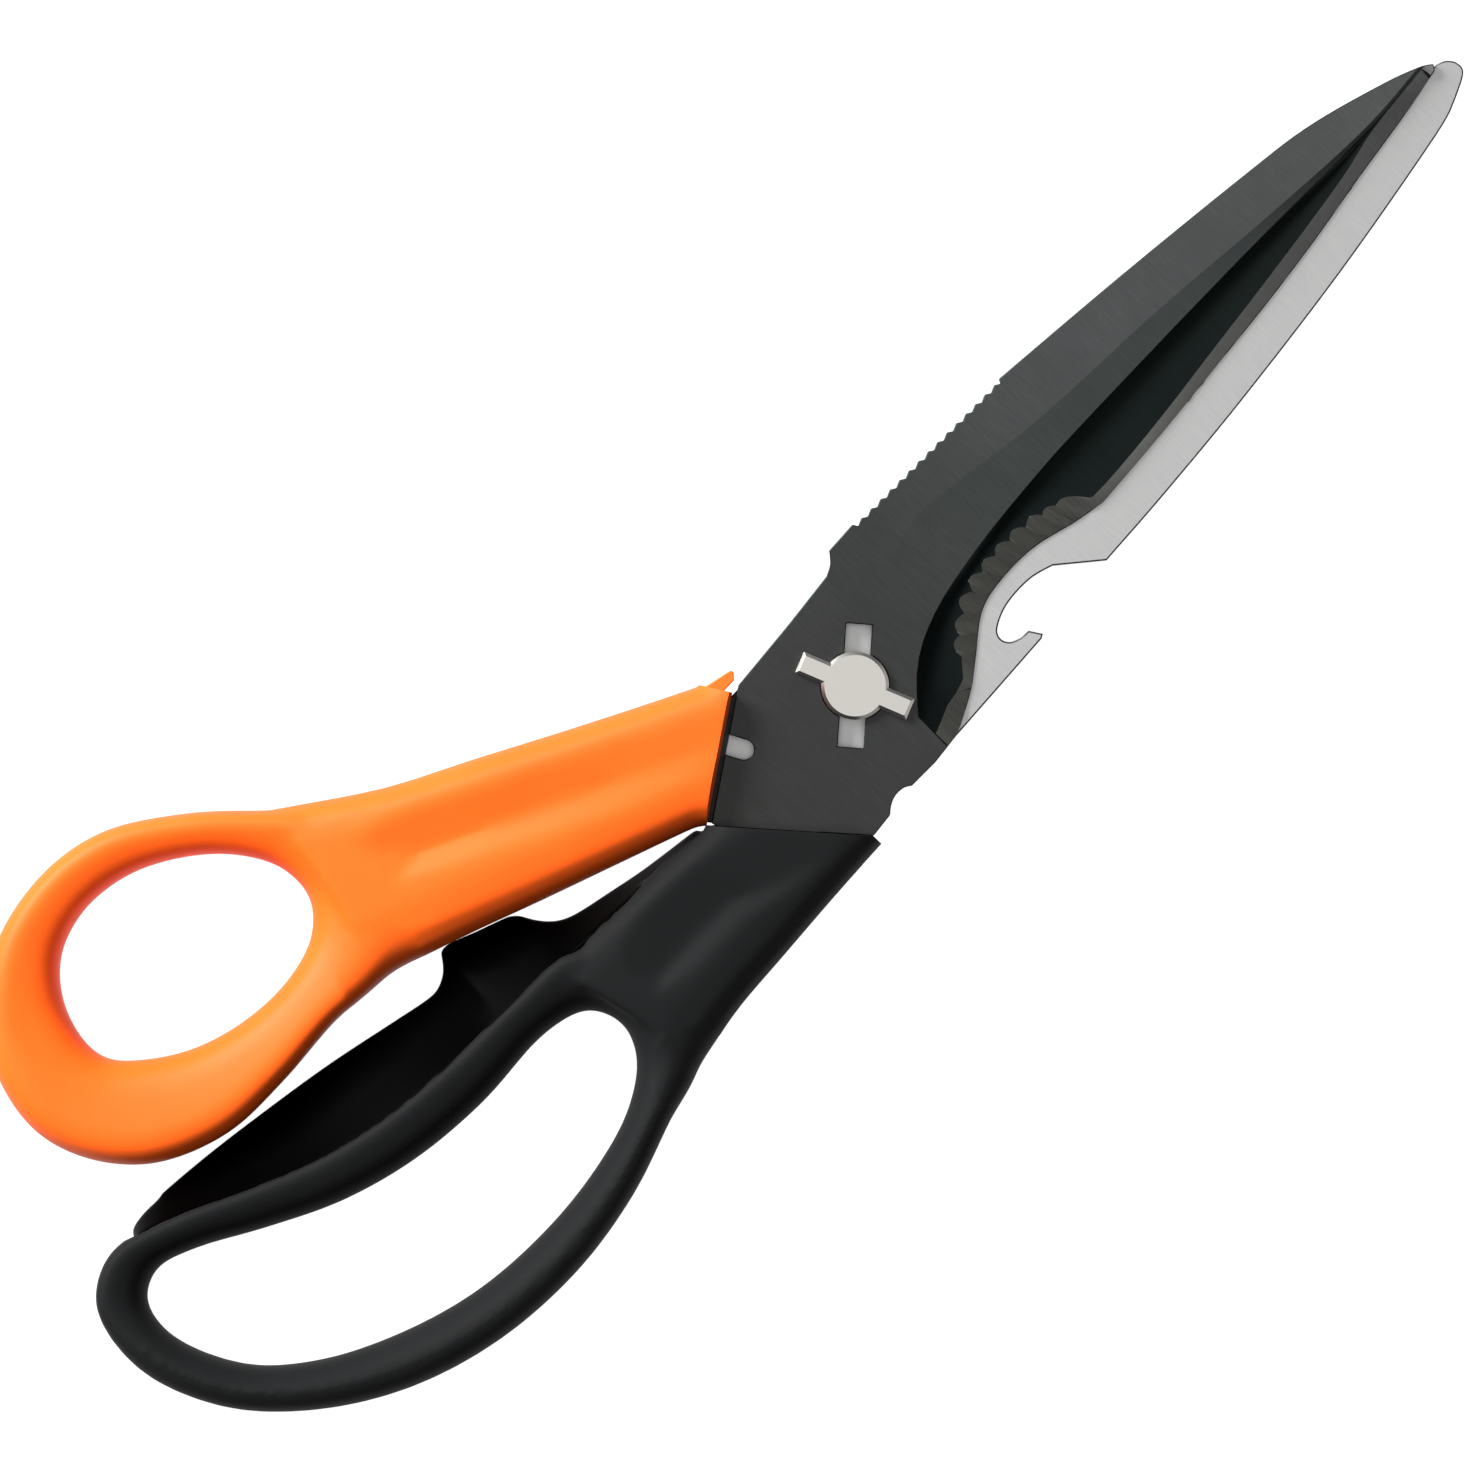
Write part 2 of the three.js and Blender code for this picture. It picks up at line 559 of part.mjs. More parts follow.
const THUMB_LOOP = [
  [[-109.9, 37.0], [-97.8, 38.5], LOOP_HALF, DISHED],
  [[-106.2, 47.4], [-96.0, 44.0], LOOP_HALF, DISHED],
  [[-97.8, 54.4], [-92.0, 48.2], LOOP_HALF, DISHED],
  [[-87.2, 56.8], [-86.0, 50.0], LOOP_HALF, DISHED],
  [[-77.8, 55.2], [-79.0, 49.0], LOOP_HALF, DISHED],
  [[-69.2, 49.6], [-72.5, 45.4], LOOP_HALF, DISHED],
  [[-62.6, 43.3], [-67.9, 40.9], LOOP_HALF, DISHED],
  [[-57.0, 36.6], [-65.3, 35.8], LOOP_HALF, DISHED],
  [[-57.0, 26.5], [-65.6, 30.8], LOOP_HALF, DISHED],
  [[-64.6, 17.6], [-69.0, 27.3], LOOP_HALF, DISHED],
  [[-74.5, 18.0], [-75.0, 25.7], LOOP_HALF, DISHED],
  [[-84.5, 17.5], [-82.0, 26.1], LOOP_HALF, DISHED],
  [[-94.0, 18.1], [-89.0, 28.3], LOOP_HALF, DISHED],
  [[-103.0, 22.3], [-94.5, 32.0], LOOP_HALF, DISHED],
  [[-108.4, 29.4], [-97.3, 35.2], LOOP_HALF, DISHED],
];
const THUMB_LOWER = [
  [-66, 17.35], [-61.5, 15.85], [-54.3, 13.05], [-46.5, 9.95], [-38, 6.7], [-29.6, 3.5], [-24.2, 1.45],
];
const THUMB_BODY = [
  [[-60.5, 41.4], THUMB_LOWER[0], LOOP_HALF, PLANE],
  [[-49.4, 33.5], THUMB_LOWER[2], BODY_HALF, PLANE],
  [[-39.5, 28.1], THUMB_LOWER[3], BODY_HALF, PLANE],
  [[-29.6, 22.6], THUMB_LOWER[4], BODY_HALF, PLANE],
  [[-19.8, 17.3], THUMB_LOWER[5], BODY_HALF, PLANE],
  [[-13.3, 13.9], THUMB_LOWER[6], BODY_HALF, PLANE],
  [[-6.0, 10.1], [-17.0, -0.6], BODY_HALF, PLANE],
];
const THUMB_CORNER = [[-11.1, 10.4], [-13.9, 15.15]]; // slanted upper corner of the front end
const THUMB_CORE = [
  [-23.4, 3.05], [-12.2, 10.24], [-13.9, 12.6], [-24.5, 17.0], [-45.0, 22.0], [-49.5, 16.6], [-46.4, 12.4],
];
const THUMB_MOUTH = [[-9.0, 10.2], [-21.4, 0.6], [-23.9, 2.0]]; // the pocket's open front
const THUMB_LIP = [
  [-15.5, 10.6], [-11.6, 11.3], [-9.85, 11.3], [-9.1, 12.05], [-9.25, 12.45], [-13.7, 13.55],
];

const THUMB_RECESS = [
  [[-59.0, 33.6], [-58.0, 24.4], [-58.8, 21.4], 0.05],
  [[-51.5, 31.2], [-52.2, 24.8], [-53.4, 22.4], 1.15],
  [[-42.0, 26.3], [-45.0, 21.2], [-46.3, 18.8], 1.15],
  [[-33.0, 21.8], [-36.0, 16.6], [-37.6, 13.8], 0.95],
  [[-24.0, 17.4], [-27.0, 12.2], [-28.6, 9.4], 0.65],
  [[-16.5, 13.8], [-19.5, 8.6], [-20.8, 6.3], 0.3],
  [[-8.0, 9.8], [-11.0, 4.6], [-12.0, 2.8], 0.05],
];

// The lip that the step of the cutting blade's spine comes up to when the blades are fully open.
function thumbLip(clearance) {
  return prism(grown(THUMB_LIP, clearance), openerBack - clearance, cutterFace + clearance);
}

function thumbCore() {
  const block = prism(THUMB_CORE, middle - CORE_HALF, middle + CORE_HALF);
  const tang = [...OPENER_TANG, ...THUMB_MOUTH].reverse();
  const pocket = tangPocket(tang, OPENER_TANG_PIN, openerBack, openerFace);
  return block.add(thumbLip(0)).subtract(pocket);
}

// The room that a core takes in the soft grip round it.
function bed(outline) {
  const half = CORE_HALF + CORE_CLEARANCE;
  return prism(grown(outline, CORE_CLEARANCE), middle - half, middle + half);
}

function thumbGrip() {
  return bar(THUMB_LOOP, LOOP_STEPS, true)
    .add(bar(THUMB_BODY, BODY_STEPS, false))
    .subtract(recess(THUMB_RECESS))
    .subtract(rightOf(THUMB_FRONT))
    .subtract(rightOf(THUMB_CORNER))
    .subtract(bed(THUMB_CORE))
    .subtract(thumbLip(CORE_CLEARANCE));
}

// Finger handle, stations of [outer point, inner point, half depth, section]

const FINGER_LOOP = [
  [[-122.4, 6.0], [-116.7, 6.0], LOOP_HALF, ROUNDED],
  [[-120.4, 15.0], [-115.6, 11.0], LOOP_HALF, EDGED],
  [[-114.5, 18.3], [-112.0, 12.8], LOOP_HALF, EDGED],
  [[-106.5, 16.2], [-107.0, 11.2], LOOP_HALF, EDGED],
  [[-96.0, 11.3], [-99.0, 6.6], LOOP_HALF, EDGED],
  [[-87.5, 7.8], [-90.0, 2.0], LOOP_HALF, EDGED],
  [[-78.5, 5.5], [-80.0, -1.0], LOOP_HALF, EDGED],
  [[-68.5, 4.4], [-69.0, -2.2], LOOP_HALF, EDGED],
  [[-57.0, 3.9], [-57.5, -1.9], LOOP_HALF, EDGED],
  [[-47.2, 2.6], [-51.9, -3.8], LOOP_HALF, EDGED],
  [[-43.0, -8.5], [-50.2, -8.0], LOOP_HALF, ROUNDED],
  [[-47.3, -18.4], [-52.0, -12.2], LOOP_HALF, ROUNDED],
  [[-54.5, -20.5], [-57.5, -15.9], LOOP_HALF, ROUNDED],
  [[-64.5, -23.6], [-66.0, -18.1], LOOP_HALF, ROUNDED],
  [[-76.0, -25.1], [-76.0, -18.8], LOOP_HALF, ROUNDED],
  [[-89.0, -24.0], [-87.0, -17.7], LOOP_HALF, ROUNDED],
  [[-101.0, -20.0], [-97.5, -14.3], LOOP_HALF, ROUNDED],
  [[-111.3, -13.2], [-106.5, -9.4], LOOP_HALF, ROUNDED],
  [[-118.7, -4.7], [-113.0, -3.2], LOOP_HALF, ROUNDED],
];
const FINGER_BODY = [
  [[-51.0, 3.5], [-46.6, -18.5], LOOP_HALF, PLANE],
  [[-39.5, 2.7], [-39.5, -17.2], BODY_HALF, PLANE],
  [[-30.0, 2.0], [-30.0, -16.65], BODY_HALF, PLANE],
  [[-24.0, 1.2], [-20.0, -16.15], BODY_HALF, PLANE],
  [[-14.0, -1.0], [-8.0, -15.75], BODY_HALF, PLANE],
];
const FINGER_CORNER = [[-11.9, -20], [-11.9, -10]]; // blunt lower corner of the front end
const FINGER_CORE = [
  FINGER_FRONT[1], [-26.6, 1.1], [-44.0, 1.6], [-46.6, -1.0],
  [-47.2, -5.6], [-46.2, -10.8], [-26, -13.0], [-13.4, -12.8],
];
const FINGER_MOUTH = [[-25.3, 2.4], [-22.4, 2.6], [-10.6, -11.4]]; // the pocket's open front
const CREASE = [
  [-111, 18.2], [-103.7, 14.7], [-96, 11.2], [-88, 7.9], [-79, 5.5],
  [-69, 4.4], [-57, 3.9], [-48, 3.3], [-39.5, 2.7], [-26.5, 1.5],
];
const FLANGE_LINE = [
  [-111.4, 18.45], [-107.8, 18.8], [-98.8, 18.0], [-88.9, 16.5], [-79, 14.7], [-69.1, 12.4],
  [-65.2, 11.5], [-63.2, 11.3], [-61.2, 12.1], [-60.2, 13.0], [-59.4, 14.2],
];
const FLANGE_FRONT = [
  [-49.6, 10.6], [-48.9, 9.2], [-47.9, 7.7], [-46.4, 6.3],
  [-44.4, 5.4], [-39.5, 4.2], [-34.6, 3.1], [-26.5, 1.8],
];
const STOP_STATIONS = [-58.6, -54.3, -50]; // where the flange stops against the thumb handle
const FLANGE_STEPS = 96;

const FINGER_RECESS = [
  [[-46.8, -2.0], [-46.0, -9.0], [-46.4, -11.0], 0.05],
  [[-43.0, 1.0], [-42.4, -7.3], [-42.8, -9.4], 0.95],
  [[-36.0, 1.3], [-36.0, -7.0], [-36.0, -9.6], 0.95],
  [[-30.0, 0.9], [-30.0, -7.2], [-29.6, -9.8], 0.85],
  [[-25.5, -0.6], [-25.0, -9.6], [-24.4, -11.8], 0.55],
  [[-20.0, -5.0], [-19.6, -11.4], [-19.2, -13.0], 0.3],
  [[-12.0, -11.6], [-12.0, -13.2], [-12.0, -14.0], 0.05],
];

// The free edge of the flange, with the bump that stops the handles closing.
function flangeEdge() {
  const bump = STOP_STATIONS.map((x) => [x, along(THUMB_LOWER, x) - STOP_GAP]);
  return [...FLANGE_LINE, ...bump, ...FLANGE_FRONT];
}

// The slanted inner wall of the finger handle, keyed into the grip along the crease.
function flange(clearance) {
  const line = flangeEdge();
  const [[from], [to]] = [line[0], line.at(-1)];
  const rings = [];
  for (let i = 0; i <= FLANGE_STEPS; i++) {
    const x = THREE.MathUtils.lerp(from, to, i / FLANGE_STEPS);
    const edge = along(line, x);
    const crease = along(CREASE, x) - CREASE_INSET;
    const root = crease - FLANGE_ROOT - clearance;
    const rise = FLANGE_FOOT / 2 + clearance;
    const rootRise = rise - FLANGE_ROOT;
    const thin = FLANGE_EDGE / 2;
    const section = [
      [root, rootRise], [crease, rise], [edge, thin - FLANGE_DROP],
      [edge, -thin - FLANGE_DROP], [crease, -rise], [root, -rootRise],
    ];
    rings.push(section.map(([y, up]) => [x, y, middle + up]));
  }
  return skin(rings, false);
}

function fingerCore() {
  const block = prism(FINGER_CORE, middle - CORE_HALF, middle + CORE_HALF);
  const tang = [...CUTTER_TANG, ...FINGER_MOUTH].reverse();
  const pocket = tangPocket(tang, CUTTER_TANG_PIN, cutterBack, cutterFace);
  return block.add(flange(0)).subtract(rightOf(FINGER_FRONT)).subtract(pocket);
}

function fingerGrip() {
  return bar(FINGER_LOOP, LOOP_STEPS, true)
    .add(bar(FINGER_BODY, BODY_STEPS, false))
    .subtract(recess(FINGER_RECESS))
    .subtract(rightOf(FINGER_FRONT))
    .subtract(rightOf(FINGER_CORNER))
    .subtract(bed(FINGER_CORE))
    .subtract(flange(CORE_CLEARANCE));
}

// Colours and finishes

const FINISHES = {
  blackCoat: { color: 0x3c3f40, roughness: 0.5, metalness: 0.6 },
  bareSteel: { color: 0xc2c2c1, roughness: 0.35, metalness: 1 },
  pivotSteel: { color: 0xd0ccc7, roughness: 0.3, metalness: 1 },
  blackGrip: { color: 0x222425, roughness: 0.75, metalness: 0 },
  blackCore: { color: 0x0a0a0a, roughness: 0.25, metalness: 0 },
  orangeGrip: { color: 0xf47a24, roughness: 0.7, metalness: 0 },
  orangeCore: { color: 0xf59a2c, roughness: 0.35, metalness: 0 },
};

const group = new THREE.Group();

function place(name, solid, finish) {
  const mesh = new THREE.Mesh(geometryOf(solid), new THREE.MeshStandardMaterial(FINISHES[finish]));
  mesh.name = name;
  group.add(mesh);
}

place("cutting_blade", cuttingBlade(), "blackCoat");
place("opener_blade", openerBlade(), "bareSteel");
place("pivot_stud", pivotStud(), "pivotSteel");
place("pivot_washer", pivotWasher(), "pivotSteel");
place("thumb_handle_core", thumbCore(), "orangeCore");
place("thumb_handle_grip", thumbGrip(), "orangeGrip");
place("finger_handle_core", fingerCore(), "blackCore");
place("finger_handle_grip", fingerGrip(), "blackGrip");

export default group;
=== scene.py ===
"""Multi-purpose take-apart scissors, dressed for a studio picture. Metres, in the part's own frame."""

import json
import math

import bpy
from mathutils import Matrix, Vector

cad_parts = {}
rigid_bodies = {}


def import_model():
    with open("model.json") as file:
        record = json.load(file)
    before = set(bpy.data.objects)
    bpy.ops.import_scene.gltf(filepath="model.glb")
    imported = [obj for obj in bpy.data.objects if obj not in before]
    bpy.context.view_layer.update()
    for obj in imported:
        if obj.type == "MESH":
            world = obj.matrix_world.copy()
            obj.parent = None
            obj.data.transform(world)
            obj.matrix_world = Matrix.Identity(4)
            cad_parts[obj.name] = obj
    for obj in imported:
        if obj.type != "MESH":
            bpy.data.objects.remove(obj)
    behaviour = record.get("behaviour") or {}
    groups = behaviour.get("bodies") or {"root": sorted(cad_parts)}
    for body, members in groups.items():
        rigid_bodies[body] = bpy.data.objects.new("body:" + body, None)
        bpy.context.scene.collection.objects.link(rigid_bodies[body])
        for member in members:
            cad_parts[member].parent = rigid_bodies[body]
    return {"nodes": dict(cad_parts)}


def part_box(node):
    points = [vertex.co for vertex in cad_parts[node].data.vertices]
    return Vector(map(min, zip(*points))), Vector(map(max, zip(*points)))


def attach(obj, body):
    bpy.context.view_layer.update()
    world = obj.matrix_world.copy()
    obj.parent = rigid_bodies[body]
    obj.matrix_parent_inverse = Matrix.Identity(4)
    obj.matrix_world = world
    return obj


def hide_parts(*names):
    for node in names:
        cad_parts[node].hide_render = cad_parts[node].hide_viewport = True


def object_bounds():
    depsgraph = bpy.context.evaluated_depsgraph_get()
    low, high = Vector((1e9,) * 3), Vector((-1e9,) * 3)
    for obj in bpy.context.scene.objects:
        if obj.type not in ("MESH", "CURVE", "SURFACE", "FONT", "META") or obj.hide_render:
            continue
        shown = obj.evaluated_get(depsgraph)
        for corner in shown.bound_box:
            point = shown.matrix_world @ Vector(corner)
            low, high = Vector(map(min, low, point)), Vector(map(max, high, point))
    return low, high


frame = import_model()
cad_low, cad_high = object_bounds()

MM = 0.001

# Opener blade
# The rear blade: flat stainless stock with the bottle-opener hook, ground bare on its mating face and coated
# on the back. Its tang sits in the thumb handle and the pivot stud is riveted through it.

# Widths are in millimetres. A face this near to a flat side counts as part of it.
OPENER_EDGE = 0.2
ON_FLAT = 0.02
JOINED_ANGLE = math.radians(0.05)
SHARP_ANGLE = math.radians(54)
SMOOTH_ANGLE = math.radians(20)


def copied(node, name):
    """A merged copy of a solid, ready for finishing, at the same place."""
    bpy.ops.object.select_all(action="DESELECT")
    solid = frame["nodes"][node]
    solid.select_set(True)
    bpy.context.view_layer.objects.active = solid
    bpy.ops.object.duplicate()
    piece = bpy.context.active_object
    bpy.ops.object.parent_clear(type="CLEAR_KEEP_TRANSFORM")
    for key in list(piece.keys()):
        del piece[key]
    piece.name = name
    piece.data.name = name
    piece.data.materials.clear()
    bpy.ops.object.mode_set(mode="EDIT")
    bpy.ops.mesh.select_all(action="SELECT")
    bpy.ops.mesh.remove_doubles(threshold=0.002 * MM)
    bpy.ops.object.mode_set(mode="OBJECT")
    return piece


def softened(piece, width, edge_material=-1, above=-1):
    """Joins flat triangles, breaks sharp edges above a height and shades smooth within each finish."""
    bpy.ops.object.mode_set(mode="EDIT")
    bpy.ops.mesh.select_all(action="SELECT")
    bpy.ops.mesh.dissolve_limited(angle_limit=JOINED_ANGLE, delimit={"MATERIAL"})
    bpy.ops.mesh.select_mode(type="EDGE")
    bpy.ops.mesh.select_all(action="DESELECT")
    bpy.ops.mesh.edges_select_sharp(sharpness=SHARP_ANGLE)
    bpy.ops.object.mode_set(mode="OBJECT")
    for edge in piece.data.edges:
        high = all(piece.data.vertices[end].co.z > above for end in edge.vertices)
        edge.select = edge.select and high
    for face in piece.data.polygons:
        face.select = False
    bpy.ops.object.mode_set(mode="EDIT")
    bpy.ops.mesh.bevel(offset=width, segments=2, affect="EDGES", clamp_overlap=False, loop_slide=False,
                       material=edge_material)
    bpy.ops.object.mode_set(mode="OBJECT")
    bpy.ops.object.shade_smooth_by_angle(angle=SMOOTH_ANGLE)
    bpy.ops.object.mode_set(mode="EDIT")
    bpy.ops.mesh.select_mode(type="FACE")
    for slot in range(len(piece.material_slots)):
        piece.active_material_index = slot
        bpy.ops.mesh.select_all(action="DESELECT")
        bpy.ops.object.material_slot_select()
        bpy.ops.mesh.region_to_loop()
        bpy.ops.mesh.mark_sharp()
        bpy.ops.mesh.select_mode(type="FACE")
    bpy.ops.object.mode_set(mode="OBJECT")
    even = piece.modifiers.new("even", "WEIGHTED_NORMAL")
    even.keep_sharp = True
    bpy.ops.object.modifier_apply(modifier=even.name)


def new_material(name):
    """An empty material with its shader, a function that adds a node and one that feeds a shader's socket."""
    material = bpy.data.materials.new(name)
    material.use_nodes = True
    tree = material.node_tree
    shader = tree.nodes["Principled BSDF"]

    def add(kind, inputs=None, **settings):
        node = tree.nodes.new(kind)
        for key, value in settings.items():
            setattr(node, key, value)
        for socket, value in (inputs or {}).items():
            if isinstance(value, bpy.types.NodeSocket):
                tree.links.new(value, node.inputs[socket])
            else:
                node.inputs[socket].default_value = value
        return node

    def into(socket, value):
        tree.links.new(value, shader.inputs[socket])

    return material, shader, add, into


def grain(add, stretch):
    """Noise drawn out along the grinding marks, which run across the blade."""
    place = add("ShaderNodeTexCoord")
    scaled = add("ShaderNodeMapping", {"Vector": place.outputs["Object"], "Scale": stretch})
    noise = add("ShaderNodeTexNoise", {"Vector": scaled.outputs[0], "Scale": 1.0, "Detail": 4.0})
    return noise.outputs["Fac"]


def ramp(add, value, stops):
    """A colour ramp on a value, with stops of (place, colour)."""
    node = add("ShaderNodeValToRGB", {"Fac": value})
    elements = node.color_ramp.elements
    while len(elements) < len(stops):
        elements.new(0.5)
    for element, (place, colour) in zip(elements, stops):
        element.position = place
        element.color = (*colour, 1)
    return node.outputs["Color"]


def span(add, value, low, high):
    """A value between 0 and 1 spread over a range."""
    node = add("ShaderNodeMapRange", {"Value": value, "To Min": low, "To Max": high})
    return node.outputs["Result"]


def bump(add, height, distance):
    """A normal for marks of a given depth."""
    node = add("ShaderNodeBump", {"Height": height, "Distance": distance})
    return node.outputs["Normal"]


def ground_steel():
    """Bare stainless steel with fine marks across the blade."""
    material, shader, add, into = new_material("ground_steel")
    marks = grain(add, (4600, 260, 260))
    into("Base Color", ramp(add, marks, [(0.3, (0.465, 0.465, 0.465)), (0.7, (0.505, 0.505, 0.50))]))
    into("Roughness", span(add, marks, 0.36, 0.44))
    into("Normal", bump(add, marks, 0.002 * MM))
    shader.inputs["Metallic"].default_value = 1.0
    return material


BLADE_FROM = -25
BLADE_TO = 107


def coated_steel(name, stops, rough):
    """Steel under a thin dark coat, with stops of (millimetres along the blade, colour) that also paint light
    along it.
    """
    material, shader, add, into = new_material(name)
    place = add("ShaderNodeTexCoord")
    along = add("ShaderNodeSeparateXYZ", {"Vector": place.outputs["Object"]})
    share = add("ShaderNodeMapRange", {
        "Value": along.outputs["X"], "From Min": BLADE_FROM * MM, "From Max": BLADE_TO * MM,
    })
    length = BLADE_TO - BLADE_FROM
    tone_and_painted_light = ramp(add, share.outputs["Result"], [((x - BLADE_FROM) / length, colour) for x, colour in stops])
    marks = grain(add, (3000, 300, 300))
    cloud = grain(add, (90, 60, 60))
    patches = add("ShaderNodeMath", {0: marks, 1: cloud}, operation="MULTIPLY")
    faint = ramp(add, patches.outputs[0], [(0.15, (0.90, 0.90, 0.90)), (0.4, (1.06, 1.06, 1.06))])
    mixed = add("ShaderNodeMix", {"Factor": 1.0}, data_type="RGBA", blend_type="MULTIPLY")
    material.node_tree.links.new(tone_and_painted_light, mixed.inputs["A"])
    material.node_tree.links.new(faint, mixed.inputs["B"])
    into("Base Color", mixed.outputs["Result"])
    into("Roughness", span(add, marks, rough, rough + 0.04))
    shader.inputs["Metallic"].default_value = 1.0
    return material


BARE_STEEL = ground_steel()
# The coat's colour rises from 12 mm towards the tip: painted light, for the lamps falling brighter along the
# blade.
COAT_WITH_PAINTED_LIGHT = coated_steel("blade_coat_with_painted_light", [
    (-25, (0.047, 0.047, 0.046)), (12, (0.048, 0.049, 0.049)), (50, (0.077, 0.080, 0.081)),
    (107, (0.087, 0.092, 0.092)),
], 0.40)

# The thumb handle's front end, with the blades on the right of the line, in millimetres. A narrow band of the
# blade beside it keeps the dark coat: painted shadow, for the shade that the handle's front end casts there.
THUMB_FRONT = ((-25.1, 1.95), (-11.0, 11.0))
PAINTED_SHADOW_BAND = 1.1


def to_the_right(line):
    """The direction square to a line, on its right."""
    (x0, y0), (x1, y1) = line
    return Vector((y1 - y0, x0 - x1, 0)).normalized()


COATED, BARE = range(2)
opener_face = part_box("opener_blade")[1].z - ON_FLAT * MM
opener = copied("opener_blade", "opener_blade_steel")
opener.data.materials.append(COAT_WITH_PAINTED_LIGHT)
opener.data.materials.append(BARE_STEEL)
front_start = Vector((*THUMB_FRONT[0], 0)) * MM
front_right = to_the_right(THUMB_FRONT)
bpy.ops.object.mode_set(mode="EDIT")
bpy.ops.mesh.select_all(action="SELECT")
bpy.ops.mesh.bisect(plane_co=front_start + front_right * PAINTED_SHADOW_BAND * MM, plane_no=front_right)
bpy.ops.object.mode_set(mode="OBJECT")
# Faces in the band beside the handle keep the dark coat, a painted shadow.
for face in opener.data.polygons:
    beyond_painted_shadow = (face.center - front_start).dot(front_right) > PAINTED_SHADOW_BAND * MM
    face.material_index = BARE if face.center.z > opener_face and beyond_painted_shadow else COATED
# The broken edges of the bare face take the dark coat of the sides, which also paints a thin shaded line
# round it.
softened(opener, OPENER_EDGE * MM, COATED, opener_face)
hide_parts("opener_blade")
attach(opener, "thumb_half")

# Cutting blade
# The front blade: the same stock, dark coated, with fine teeth on the spine, a hollow grind and a scalloped
# branch notch. Its keyhole lets the stud's wings through when the blades are fully open.

# A darker copy of the coat on the shallow bevel, painted shade where it tilts from the lamps; lighter to the
# tip, painted light.
BEVEL_COAT_PAINTED_LIGHT_AND_SHADE = coated_steel("shallow_bevel_painted_light_and_shade", [
    (12, (0.048, 0.049, 0.049)), (34, (0.055, 0.063, 0.061)), (107, (0.074, 0.080, 0.080)),
], 0.38)
# A near-black copy of the coat in the hollow grind: painted shade and the painted dark reflection; lighter to
# the tip, painted light.
HOLLOW_COAT_PAINTED_SHADE = coated_steel("hollow_grind_painted_shade", [
    (0, (0.009, 0.012, 0.012)), (50, (0.011, 0.0155, 0.0145)), (88, (0.013, 0.017, 0.016)),
    (99, (0.026, 0.030, 0.029)),
], 0.34)
COAT_EDGE = coated_steel("coat_on_edge_bevel", [
    (2, (0.19, 0.192, 0.175)), (34, (0.19, 0.192, 0.175)), (44, (0.36, 0.365, 0.35)),
    (100, (0.26, 0.265, 0.26)),
], 0.40)

# The lines of the grinds on the front face, from the pivot to the tip, in millimetres.
RIDGE = [
    (2.5, -8.3), (9, 1.5), (14, 7), (20, 8.8), (24.7, 8.5),
    (39.5, 6.3), (59.3, 4.9), (79, 2.9), (94, 1.85), (105.5, 2.4),
]
HOLLOW_TOP = [
    (2.5, -8.4), (6, -4.8), (9, -2.7), (12, -1.4), (16, -0.25), (24, 0.95),
    (32, 1.6), (40, 1.95), (70, 1.95), (94, 1.5), (105.5, 2.1),
]
HOLLOW_END = [
    (2.5, -11.6), (6, -10.0), (9.6, -9.3), (11.5, -7.3), (13.4, -5.5), (15.8, -3.9), (18.2, -2.8),
    (20.6, -2.2), (23, -1.8), (25.5, -1.7), (28, -2.0), (30.4, -2.6), (33, -3.8), (35.8, -5.0),
    (40, -5.2), (50, -4.55), (60, -3.5), (70, -2.45), (80, -1.3), (88, -0.2), (94, 1.0), (105.5, 1.95),
]
BRANCH_NOTCH = [
    (37.8, -6.6), (33.6, -5.8), (27.7, -4.25), (22, -4.1),
    (17.5, -5.1), (12.8, -8.5), (9.4, -10.9), (4.4, -13.35),
]
SCALLOP_COUNT = 10
SCALLOP_RUN = (0.08, 0.69)
SCALLOP_REACH = (3.9, 3.0)
SCALLOP_SKEW = (30, 0)
SCALLOP_RADIUS = 3.0
SCALLOP_TIP_DEPTH = 0.95
EDGE_LAND = 0.25
CUTTER_EDGE = 0.12
# How far a ground face lies under the flat and faces forward, and how near a face lies to a wheel's cut.
GRIND_LEAST = 0.004
GRIND_FACING = 0.2
CUT_SPARE = 0.01
CUT_FIT = 1.006


def height_at(line, x):
    """Height of a grind line over a place along the blade."""
    for (x0, y0), (x1, y1) in zip(line, line[1:]):
        if x <= x1:
            return y0 + (y1 - y0) * (x - x0) / (x1 - x0)
    return line[-1][1]


def mix(a, b, share):
    """A value part of the way from one to another."""
    return a + (b - a) * share


def smooth_line(points, steps=400):
    """Points along a smooth curve through the given ones."""
    knots = [Vector(p) for p in points]
    line = []
    for i in range(len(knots) - 1):
        before, start, end, after = (knots[max(min(k, len(knots) - 1), 0)] for k in range(i - 1, i + 3))
        leaving = (end - before) / 2
        arriving = (after - start) / 2
        for step in range(steps):
            t = step / steps
            cubic = (2 * start - 2 * end + leaving + arriving) * t ** 3
            square = (3 * end - 3 * start - 2 * leaving - arriving) * t ** 2
            line.append(cubic + square + leaving * t + start)
    return line + [knots[-1]]


